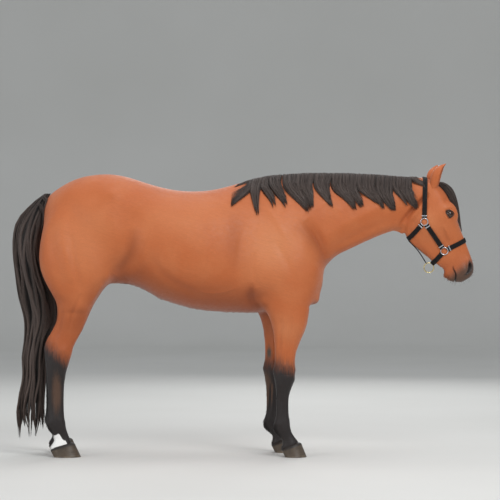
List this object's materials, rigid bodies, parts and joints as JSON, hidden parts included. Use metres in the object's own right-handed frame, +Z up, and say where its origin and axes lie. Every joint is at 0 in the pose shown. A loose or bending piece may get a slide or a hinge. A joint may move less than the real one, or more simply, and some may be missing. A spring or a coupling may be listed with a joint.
{
  "type": "horse",
  "caption": "Life-size model of a standing bay stock horse, with a level neck, a low head, a full tail and a webbing halter.",
  "frame": {"origin": "on the floor, under the middle of the horse's bounding box", "axes": "+X the way the horse faces, +Y to its left, +Z up"},
  "size_m": [2.5574, 0.59, 1.6124],
  "materials": {
    "coat": "short reddish-brown summer coat with a satin sheen",
    "dark_points": "short black-brown coat of the lower legs",
    "hair": "long dark-brown hair of mane, forelock and tail",
    "hoof": "grey-brown horn with growth rings",
    "eye": "dark brown, wet and glossy",
    "webbing": "black woven webbing",
    "steel": "polished nickel-plated steel",
    "brass": "polished pale brass"
  },
  "bodies": {
    "root": {"trunk": "coat", "neck": "coat", "head": "coat", "foreleg_upper_right": "coat", "foreleg_lower_right": "dark_points", "hoof_fore_right": "hoof", "hindleg_upper_right": "coat", "hindleg_lower_right": "dark_points", "hoof_hind_right": "hoof", "ear_right": "coat", "eye_right": "eye", "halter_cheek_strap_right": "webbing", "halter_upper_ring_right": "steel", "halter_lower_ring_right": "steel", "foreleg_upper_left": "coat", "foreleg_lower_left": "dark_points", "hoof_fore_left": "hoof", "hindleg_upper_left": "coat", "hindleg_lower_left": "dark_points", "hoof_hind_left": "hoof", "ear_left": "coat", "eye_left": "eye", "halter_cheek_strap_left": "webbing", "halter_upper_ring_left": "steel", "halter_lower_ring_left": "steel", "mane": "hair", "forelock": "hair", "tail": "hair", "halter_crown_strap": "webbing", "halter_noseband": "webbing", "halter_throat_strap": "webbing", "halter_chin_strap": "webbing", "halter_jaw_strap": "webbing", "halter_lead_ring": "brass"}
  },
  "joints": []
}
